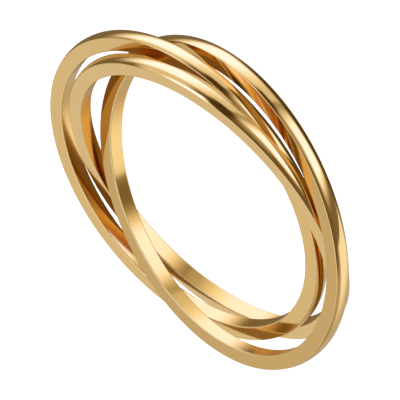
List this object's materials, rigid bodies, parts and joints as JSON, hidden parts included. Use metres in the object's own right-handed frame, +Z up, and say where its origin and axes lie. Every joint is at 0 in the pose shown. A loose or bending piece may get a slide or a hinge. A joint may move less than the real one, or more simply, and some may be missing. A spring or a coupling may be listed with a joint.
{
  "type": "interlocking ring",
  "caption": "Finger ring of slim plain polished gold bands, each linked through the others and free to roll, lying on its side.",
  "frame": {"origin": "on the surface that the ring lies on, under the middle of its outline", "axes": "+Z up from that surface, along the way a finger goes through; the picture looks along +Y and down"},
  "size_m": [0.0224, 0.0226, 0.004],
  "materials": {
    "gold": "mirror polished yellow gold"
  },
  "bodies": {
    "first_band": {"first_band": "gold"},
    "second_band": {"second_band": "gold"},
    "third_band": {"third_band": "gold"}
  },
  "joints": [
    {"name": "second_band_roll", "type": "hinge", "parent": "first_band", "child": "second_band", "pos_m": [-0.00032, -0.00005, 0.00192], "axis": [-0.124, 0.0757, 0.9894], "continuous": true},
    {"name": "third_band_roll", "type": "hinge", "parent": "first_band", "child": "third_band", "pos_m": [-0.00107, -0.00109, 0.00198], "axis": [0.1392, -0.0591, 0.9885], "continuous": true}
  ]
}
